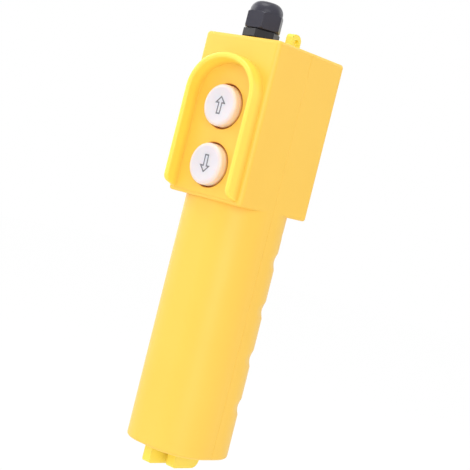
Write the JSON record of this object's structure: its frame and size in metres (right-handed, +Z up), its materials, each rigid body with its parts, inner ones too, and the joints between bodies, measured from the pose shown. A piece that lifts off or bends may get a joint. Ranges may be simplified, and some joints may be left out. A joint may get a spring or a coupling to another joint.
{
  "type": "hoist push button switch",
  "caption": "Hand-held hoist pendant with spring-return up and down push buttons in a horseshoe guard, a cable gland on top and a notched grip.",
  "frame": {"origin": "on the cable gland's axis, halfway up the rubber sleeve that grips the cable", "axes": "+Z up along the gland's axis towards the cable, the buttons face -Y, +X to the right seen from the back"},
  "size_m": [0.048, 0.06, 0.2308],
  "materials": {
    "casing_yellow": "satin moulded",
    "gland_black": "satin moulded nylon",
    "cap_white": "semi-gloss moulded",
    "arrow_grey": "matt inlay",
    "black_rubber": "matt",
    "seal_silicone": "matt red-brown silicone",
    "phenolic_black": "pressed phenolic",
    "plunger_white": "turned acetal",
    "zinc_steel": "zinc plated",
    "spring_steel": "drawn wire",
    "contact_brass": "pressed strip"
  },
  "bodies": {
    "casing": {"front_shell": "casing_yellow", "rear_shell": "casing_yellow", "shell_gasket": "black_rubber", "shell_screws": "zinc_steel", "gland_body": "gland_black", "gland_washer": "black_rubber", "gland_locknut": "gland_black", "gland_seal": "black_rubber", "switch_base": "phenolic_black", "terminal_board": "phenolic_black", "switch_screws": "zinc_steel", "board_screws": "zinc_steel", "terminal_screws": "zinc_steel", "terminal_clamps": "zinc_steel", "up_seal": "seal_silicone", "up_return_spring": "spring_steel", "up_fixed_contacts": "contact_brass", "down_seal": "seal_silicone", "down_return_spring": "spring_steel", "down_fixed_contacts": "contact_brass"},
    "gland_nut": {"gland_nut": "gland_black"},
    "up_button": {"up_cap": "cap_white", "up_arrow": "arrow_grey", "up_plunger": "plunger_white", "up_contact_bridge": "contact_brass", "up_contact_spring": "spring_steel", "up_clip": "spring_steel"},
    "down_button": {"down_cap": "cap_white", "down_arrow": "arrow_grey", "down_plunger": "plunger_white", "down_contact_bridge": "contact_brass", "down_contact_spring": "spring_steel", "down_clip": "spring_steel"}
  },
  "joints": [
    {"name": "up_press", "type": "slide", "parent": "casing", "child": "up_button", "axis": [0, 1, 0], "range_m": [0, 0.0035], "stiffness_N_per_m": 800, "springref_m": -0.004, "deforming": ["up_return_spring"]},
    {"name": "down_press", "type": "slide", "parent": "casing", "child": "down_button", "axis": [0, 1, 0], "range_m": [0, 0.0035], "stiffness_N_per_m": 800, "springref_m": -0.004, "deforming": ["down_return_spring"]},
    {"name": "gland_nut_turn", "type": "hinge", "parent": "casing", "child": "gland_nut", "pos_m": [0, 0, 0], "axis": [0, 0, 1], "range_deg": [0, 360]}
  ]
}
